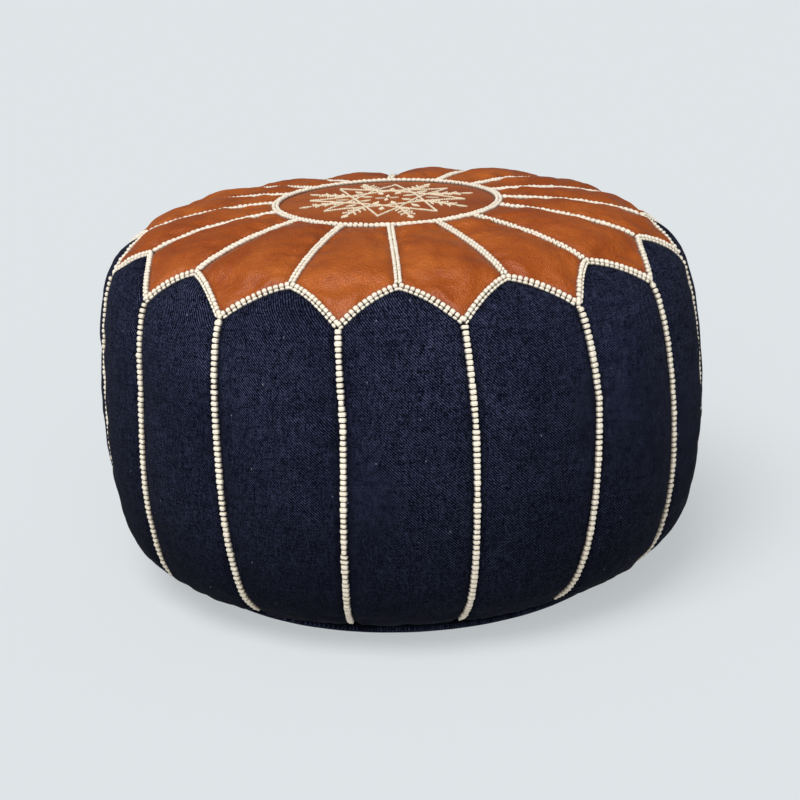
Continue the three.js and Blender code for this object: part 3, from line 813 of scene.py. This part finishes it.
rays = Stitches(np.random.default_rng(5))
a = np.arange(PETALS * RING_POINTS) * PITCH / RING_POINTS
points, normals = place(a, 1.0)
path = along_path(points, normals, STITCH_PITCH, closed=True)
rays.run(path, ray_bead, offset=-RING_HALF)
rays.run(path, ray_bead, offset=RING_HALF)
for k in range(PETALS):
    points, normals = place(k * PITCH, np.linspace(T_PEAK, 1.0, FINE))
    path = along_path(points, normals, STITCH_PITCH, RAY_CLEAR, RAY_CLEAR)
    rays.run(path, ray_bead, offset=-RAY_HALF)
    rays.run(path, ray_bead, offset=RAY_HALF)
finish_piece(rays.object("crown_stitches"), "pouf", THREAD, ["crown_seam_braid"])

# ------------------------ medallion
RING_Z = SEAM_LINE[-1][1]
MEDALLION_R = SEAM_LINE[-1][0] * MEDALLION_SCALE
MEDALLION_THICK = 1.3 * MM
MEDALLION_RISE = 3.2  # millimetres, as is the next
RIM_DROP = 1.2


def crown_height(x, y):
    """Height of the medallion's leather over its own middle: a low soft dome with a few dents."""
    d = np.hypot(x, y) / MEDALLION_R
    dent = 0.8 * np.sin(x / 0.031 + 0.6) * np.cos(y / 0.027 - 0.4) + 0.5 * np.sin((x + y) / 0.019)
    drop = RIM_DROP * np.clip(d * 8 - 7, 0, 1)
    return RING_Z + MM * ((1 - d**2) * (MEDALLION_RISE + dent) - drop)


rings, spokes = 26, 96
rho = np.linspace(0.04, 1, rings) * (MEDALLION_R - HALF_GAP)
ang = np.arange(spokes) * 2 * math.pi / spokes
verts = []
for r in rho:
    x, y = r * np.sin(ang), -r * np.cos(ang)
    verts.append(np.stack([x + MEDALLION_SHIFT[0], y + MEDALLION_SHIFT[1], crown_height(x, y)], 1))
verts = np.concatenate(verts[::-1])
faces = grid_faces(rings, spokes, wrap=True)
faces.append(tuple(range((rings - 1) * spokes, rings * spokes)))
distance = np.repeat((MEDALLION_R - rho[::-1]) / MM, spokes)
medallion = new_object("medallion_leather", verts, faces, True, {"seam": distance})
thicken(medallion, MEDALLION_THICK)
finish_piece(medallion, "pouf", LEATHER, ["medallion"])

STAR_R = 72 * MM
STAR_TURN = math.radians(-7)
STAR_POINTS = 8
STAR_STEP = 3  # each line of the star joins a point to the third one on
# Shares of STAR_R at which its stems, sprigs and diamonds lie.
STEM = (0.42, 0.98)
SPRIGS = (0.62, 0.74, 0.86)
TIP_DIAMOND, OUTER_DIAMOND, INNER_DIAMOND = 0.58, 1.07, 0.29
STRAND = 0.9 * MM  # spacing of the threads laid in a diamond
SPRIG_LEAN = 0.75  # radians between a sprig's twigs and its stem
SPRIG_LENGTH = 10 * MM


def polar(radius, azimuth):
    """x and y of a point round the medallion's middle."""
    return np.array([radius * math.sin(azimuth), -radius * math.cos(azimuth)])


def on_medallion(xy):
    """The points of the medallion's surface at x and y from its middle, with normals straight up."""
    h = crown_height(xy[:, 0], xy[:, 1])
    p = np.column_stack([xy + MEDALLION_SHIFT, h])
    return p, np.tile([0.0, 0.0, 1.0], (len(p), 1))


motif = Stitches(np.random.default_rng(6))
line_stitch = stitch_shape(2.4 * MM, 3.3 * MM, 1.4 * MM, 1, 5, 6, sink=0.5 * MM)
LINE_PITCH = 2.3 * MM


def sew(xy):
    """A line of single stitches through points of the medallion."""
    points, normals = on_medallion(xy)
    motif.run(along_path(points, normals, LINE_PITCH), line_stitch, jitter=0.1, turn=0.1)


def satin(centre, azimuth, length, width):
    """A small filled diamond of threads laid side by side."""
    count = max(4, round(length / STRAND))
    direction = polar(1.0, azimuth)
    across = np.array([-direction[1], direction[0]])
    for i in range(count):
        u = (i + 0.5) / count * 2 - 1
        half = width / 2 * (1 - abs(u)) + 0.5 * MM
        middle = centre + direction * u * length / 2
        ends = np.stack([middle - across * half, middle + across * half])
        points, normals = on_medallion(ends)
        strand = stitch_shape(1.0 * MM, 2 * half, 0.95 * MM, 1, 5, 6, sink=0.5 * MM)
        motif.run(along_path(points, normals, 2 * half), strand, jitter=0.05, turn=0.05, lift=0.1 * MM)


STAR_PITCH = 2 * math.pi / STAR_POINTS
for k in range(STAR_POINTS):
    tip = STAR_TURN + k * STAR_PITCH
    a, b = polar(STAR_R, tip), polar(STAR_R, tip + STAR_STEP * STAR_PITCH)
    sew(a + (b - a) * np.linspace(0, 1, 40)[:, None])
    satin(polar(TIP_DIAMOND * STAR_R, tip), tip, 12 * MM, 6.5 * MM)
    stem = tip + STAR_PITCH / 2
    sew(np.stack([polar(r, stem) for r in np.linspace(*STEM, 12) * STAR_R]))
    for r in SPRIGS:
        root = polar(r * STAR_R, stem)
        for lean in (-SPRIG_LEAN, SPRIG_LEAN):
            twig = root + polar(SPRIG_LENGTH, stem + lean)
            sew(np.stack([root + (twig - root) * f for f in np.linspace(0, 1, 4)]))
    satin(polar(OUTER_DIAMOND * STAR_R, stem), stem, 12 * MM, 7.5 * MM)
    satin(polar(INNER_DIAMOND * STAR_R, stem), stem, 11 * MM, 7 * MM)
for k in range(4):
    quarter = STAR_TURN + k * math.pi / 2
    satin(polar(6.5 * MM, quarter), quarter, 9 * MM, 5 * MM)
MOTIF_THREAD = thread_material("motif_thread", (250, 238, 212), (214, 192, 156))
finish_piece(motif.object("medallion_embroidery"), "pouf", MOTIF_THREAD, ["medallion_motif"])

# ------------------------ base
BASE_FLAT_R = 184 * MM
ROLL = np.array(
    [[184, 0], [192, 0.3], [198, 1.6], [202.5, 4], [204.6, 7.2], [203.6, 10], [200, 11.2], [197.5, 10]]
) * MM
ROLL_P = np.array([catmull(ROLL, t) for t in np.linspace(0, 1, 22)])
ROLL_WAVE = 0.5 * MM  # how far the rolled edge wanders in and out at the height below
ROLL_WAVE_Z = 8 * MM
ROLL_TOP = 11 * MM
ZIP_VALLEY = 5.5 * MM  # how far the base is drawn in along the zip
VALLEY_X = (160 * MM, 184 * MM)
VALLEY_Y = (17 * MM, 32 * MM)
SLOT_HALF = 7 * MM
SLOT_SHUT = 0.1 * MM
SLOT_X = (135 * MM, 144 * MM)
SLOT_LIP = 1.2 * MM  # the edges along the slot turn up this much
SLOT_FADE = 60 * MM  # the rows beside the slot draw together where the half-round is narrower than this
RIM_HALF_GAP = 0.03 * MM
BASE_COLUMNS = 180
BASE_END = 0.01  # degrees from the zip's line at which a half ends
BASE_ROWS = np.array([0, 0.6, 1.5, 4, 8, 12, 16, 20, 25, 32]) * MM  # out from the edge of the slot
FLAT_ROWS = 11  # between those and the rolled edge


def slot_half(x):
    """Half the width of the slot over the zip."""
    return SLOT_HALF + (SLOT_SHUT - SLOT_HALF) * smoothstep(np.abs(x), *SLOT_X)


def valley(x, y):
    """How far the base is drawn in at a point."""
    along = 1 - smoothstep(np.abs(x), *VALLEY_X)
    return ZIP_VALLEY * along * (1 - smoothstep(np.abs(y), *VALLEY_Y))


def base_half(name, side, node):
    """Half the base, from the zip out to the rolled rim."""
    angle = np.linspace(math.radians(BASE_END), math.radians(180 - BASE_END), BASE_COLUMNS)
    x_flat = -BASE_FLAT_R * np.cos(angle)
    squeeze = np.minimum(1, BASE_FLAT_R * np.sin(angle) / SLOT_FADE)
    rows = []
    for d in BASE_ROWS:
        y = slot_half(x_flat) * squeeze + d * squeeze
        z = valley(x_flat, y)
        if d == 0:
            z = z + SLOT_LIP
        rows.append(np.stack([x_flat, y, z], 1))
    start = rows[-1]
    for f in np.linspace(0, 1, FLAT_ROWS + 2)[1:-1]:
        y = start[:, 1] + (BASE_FLAT_R * np.sin(angle) - start[:, 1]) * f
        rows.append(np.stack([x_flat, y, valley(x_flat, y)], 1))
    for r, z in ROLL_P:
        wave = ROLL_WAVE * np.sin(angle * 31 + side) * np.sin(angle * 7)
        radius = r + wave * (z / ROLL_WAVE_Z)
        x, y = -radius * np.cos(angle), radius * np.sin(angle)
        rows.append(np.stack([x, np.maximum(y, RIM_HALF_GAP), np.full_like(x, z)], 1))
    grid = np.array(rows)
    grid[..., 1] *= side
    faces = grid_faces(len(rows), BASE_COLUMNS)
    if side > 0:
        faces = [f[::-1] for f in faces]
    verts = grid.reshape(-1, 3)
    seam = np.minimum(9, np.abs(verts[:, 2] - ROLL_TOP) / MM * 2)
    obj = new_object(name, verts, faces, True, {"seam": seam})
    thicken(obj, DENIM_THICK)
    finish_piece(obj, "pouf", DENIM_FLAT, [node])


base_half("base_front", -1, "base_panel_front")
base_half("base_rear", 1, "base_panel_rear")

# ------------------------ zip
WIRE_R = 0.34 * MM
WIRE_SIDES = 6
COIL_PITCH = 1.5 * MM
TURN_STEPS = 12


def coil(name, node):
    """One row of the zip's teeth: a wire wound in flat turns, in the space of its CAD bar."""
    low, high = (np.array(v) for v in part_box(node))
    middle, half = (low + high) / 2, (high - low) / 2 - WIRE_R
    turns = round(2 * half[0] / COIL_PITCH)
    steps = TURN_STEPS * turns + 1
    angle = np.linspace(0, 2 * math.pi * turns, steps)
    line = np.stack(
        [
            np.linspace(-half[0], half[0], steps),
            half[1] * np.cos(angle),
            half[2] * np.sin(angle),
        ],
        1,
    )
    line += middle
    tangent = np.gradient(line, axis=0)
    tangent /= np.linalg.norm(tangent, axis=1)[:, None]
    out = np.stack([np.zeros(steps), np.cos(angle), np.sin(angle)], 1)
    out -= (out * tangent).sum(1)[:, None] * tangent
    out /= np.linalg.norm(out, axis=1)[:, None]
    over = np.cross(tangent, out)
    turn = (np.arange(WIRE_SIDES) * 2 * math.pi / WIRE_SIDES)[None, :, None]
    ring = WIRE_R * (np.cos(turn) * out[:, None] + np.sin(turn) * over[:, None])
    verts = (line[:, None] + ring).reshape(-1, 3)
    faces = grid_faces(steps, WIRE_SIDES, wrap=True)
    faces.append(tuple(range(WIRE_SIDES))[::-1])
    faces.append(tuple(range((steps - 1) * WIRE_SIDES, steps * WIRE_SIDES)))
    finish_piece(new_object(name, verts, faces), "pouf", COIL, [node])


coil("zip_teeth_front", "zip_coil_front")
coil("zip_teeth_rear", "zip_coil_rear")
for node in ("zip_tape_front", "zip_tape_rear"):
    paint(NODES[node], TAPE)
for node in ("zip_slider", "zip_pull", "zip_top_stop_front", "zip_top_stop_rear", "zip_bottom_stop"):
    paint(NODES[node], METAL)

TOPSTITCH_HALF = 146  # millimetres each way from the middle of the zip
TOPSTITCH_ROWS = (9.5, 12.5)
TOPSTITCH_PITCH = 3.3 * MM
topstitch = Stitches(np.random.default_rng(8))
bar = stitch_shape(0.9 * MM, 2.6 * MM, 0.5 * MM, 1, 5, 6, sink=0.4 * MM)
for side in (-1, 1):
    for row in TOPSTITCH_ROWS:
        x = np.linspace(-TOPSTITCH_HALF, TOPSTITCH_HALF, 60) * MM
        y = np.full_like(x, side * row * MM)
        points = np.stack([x, y, valley(x, y)], 1)
        down = np.tile([0.0, 0.0, -1.0], (len(x), 1))
        topstitch.run(along_path(points, down, TOPSTITCH_PITCH), bar, jitter=0.05, turn=0.03)
finish_piece(topstitch.object("zip_stitches"), "pouf", THREAD)

# ------------------------ insert and filling
SEGMENTS = 72


def turned(rings):
    """Points and faces of a sheet turned about Z from pairs of radius and height."""
    ang = np.arange(SEGMENTS) * 2 * math.pi / SEGMENTS
    rows = [np.stack([r * np.sin(ang), -r * np.cos(ang), np.full(SEGMENTS, z)], 1) for r, z in rings]
    return np.concatenate(rows), grid_faces(len(rings), SEGMENTS, wrap=True)


def inset(depth, low, high, count):
    """Pairs of radius and height along the seam line, a depth inside it."""
    t = np.linspace(low, high, count)
    p = np.stack([np.interp(t, TABLE_T, TABLE_P[:, i]) for i in (0, 1)], 1)
    n = np.stack([np.interp(t, TABLE_T, TABLE_N[:, i]) for i in (0, 1)], 1)
    return p - n * depth


# Each crumple's depth, its waves to a turn, and radians for each metre of height.
CRUMPLES = ((1.0, 9, 40), (0.7, 23, -25), (0.6, 4, 130))
CRUMPLE_MEAN = 1.6
CALM_R = 50 * MM  # the crumples fade out from here to the axis


def crumple(verts, size, seed):
    """The points drawn in by soft waves, up to about the size given."""
    x, y, z = verts.T
    turn, r = np.arctan2(x, y), np.hypot(x, y)
    wave = 0
    for (depth, turns, climb), phase in zip(CRUMPLES, np.random.default_rng(seed).uniform(0, 6, 3)):
        wave = wave + depth * np.sin(turns * turn + climb * z + phase)
    drawn = size * (CRUMPLE_MEAN + wave) / 4 * np.clip(r / CALM_R, 0, 1)
    k = 1 - drawn / np.maximum(r, 10 * MM)
    return np.stack([x * k, y * k, z], 1)


SPLIT_T = 5 / LAST  # where the insert's two pieces meet
BAG_DEPTH = 8 * MM
BAG_THICK = 0.8 * MM
BAG_FLOOR_Z = 11.5 * MM
FILLING_DEPTH = 11 * MM
FILLING_FLOOR_Z = 14.5 * MM


def bag(name, rings, closed_row, node):
    """One piece of the insert: a turned sheet with a flat cap over one of its end rows."""
    verts, faces = turned(rings)
    cap = tuple(range(closed_row * SEGMENTS, (closed_row + 1) * SEGMENTS))
    faces.append(cap if closed_row else cap[::-1])
    obj = new_object(name, crumple(verts, 2 * MM, 21), faces)
    thicken(obj, BAG_THICK)
    finish_piece(obj, "pouf", CALICO, [node])


low_rings = [(r, BAG_FLOOR_Z) for r in (0.05, 0.12, 0.178)]
low_rings += inset(BAG_DEPTH, 0.0, SPLIT_T, 26)[2:].tolist()
high_rings = inset(BAG_DEPTH, SPLIT_T, 1.0, 34)[1:].tolist()
high_rings.append((0.06, high_rings[-1][1]))
bag("insert_base", low_rings, 0, "insert_cover_base")
bag("insert_top", high_rings, len(high_rings) - 1, "insert_cover_top")

rings = [(r, FILLING_FLOOR_Z) for r in (0.06, 0.13, 0.175)]
rings += inset(FILLING_DEPTH, 0.04, 1.0, 44).tolist()
rings.append((0.05, rings[-1][1]))
verts, faces = turned(rings)
foot_point, top_point = len(verts), len(verts) + 1
verts = np.concatenate([verts, [[0, 0, FILLING_FLOOR_Z], [0, 0, rings[-1][1]]]])
for i in range(SEGMENTS):
    j = (i + 1) % SEGMENTS
    faces.append((j, i, foot_point))
    faces.append((foot_point - SEGMENTS + i, foot_point - SEGMENTS + j, top_point))
filling = new_object("filling", crumple(verts, 3 * MM, 22), faces)
finish_piece(filling, "pouf", FIBRE, ["fibre_filling"])

# ------------------------ floor, light and camera
PALE = srgb(222, 227, 230)
GLOW = 0.6  # share of the floor's own light, which keeps the shadows light
FLOOR_LIGHT, FLOOR_DARK = 0.43, 0.41  # shares of PALE that the floor reflects
g = Graph("floor")
g.shader.inputs["Emission Color"].default_value = PALE
g.shader.inputs["Emission Strength"].default_value = GLOW
tone = g.span(g.noise(3, 2), 0.3, 0.7, 0, 0.03)
light_tone, dark_tone = [(*(v * f for v in PALE[:3]), 1) for f in (FLOOR_LIGHT, FLOOR_DARK)]
floor_material = g.finish(g.mix(tone, light_tone, dark_tone), 0.9, Specular_IOR_Level=0.05)
FLOOR_HALF = 30.0
corners = [[x * FLOOR_HALF, y * FLOOR_HALF, 0] for x, y in ((-1, -1), (1, -1), (1, 1), (-1, 1))]
floor = new_object("floor", corners, [(0, 1, 2, 3)], False)
floor.data.materials.append(floor_material)

SKY = (0.97, 0.985, 1.0, 1)
SKY_STRENGTH = 0.17
world = bpy.data.worlds.new("studio")
scene.world = world
world.use_nodes = True
background = world.node_tree.nodes["Background"]
background.inputs["Color"].default_value = SKY
background.inputs["Strength"].default_value = SKY_STRENGTH


def sun(name, direction, strength, degrees):
    """A soft light from far off; its angle sets how soft its shadows are."""
    light = bpy.data.lights.new(name, "SUN")
    light.energy = strength
    light.angle = math.radians(degrees)
    obj = bpy.data.objects.new(name, light)
    obj.rotation_euler = Vector(direction).to_track_quat("-Z", "Y").to_euler()
    scene.collection.objects.link(obj)


sun("key", (0.3, 0.55, -1.0), strength=2.25, degrees=35)
sun("front_fill", (0.1, 1.0, -0.5), strength=1.35, degrees=60)

DISTANCE = 1.84
ELEVATION = math.radians(16.72)
ROLL_ANGLE = math.radians(2.02)
AIM = Vector((0, 0, 0.1725))
LENS = 87.5  # millimetres, on a sensor 36 mm wide
SHIFT_Y = -0.025
camera_data = bpy.data.cameras.new("camera")
camera_data.lens = LENS
camera_data.sensor_width = 36
camera_data.shift_y = SHIFT_Y
camera_data.clip_end = 100
camera = bpy.data.objects.new("camera", camera_data)
away = Vector((0, -math.cos(ELEVATION), math.sin(ELEVATION)))
look = (-away).to_track_quat("-Z", "Y").to_matrix()
roll = Matrix.Rotation(-ROLL_ANGLE, 3, "Z")
camera.matrix_world = Matrix.Translation(AIM + away * DISTANCE) @ (look @ roll).to_4x4()
scene.collection.objects.link(camera)
scene.camera = camera
scene.view_settings.view_transform = "Standard"

bpy.context.view_layer.update()
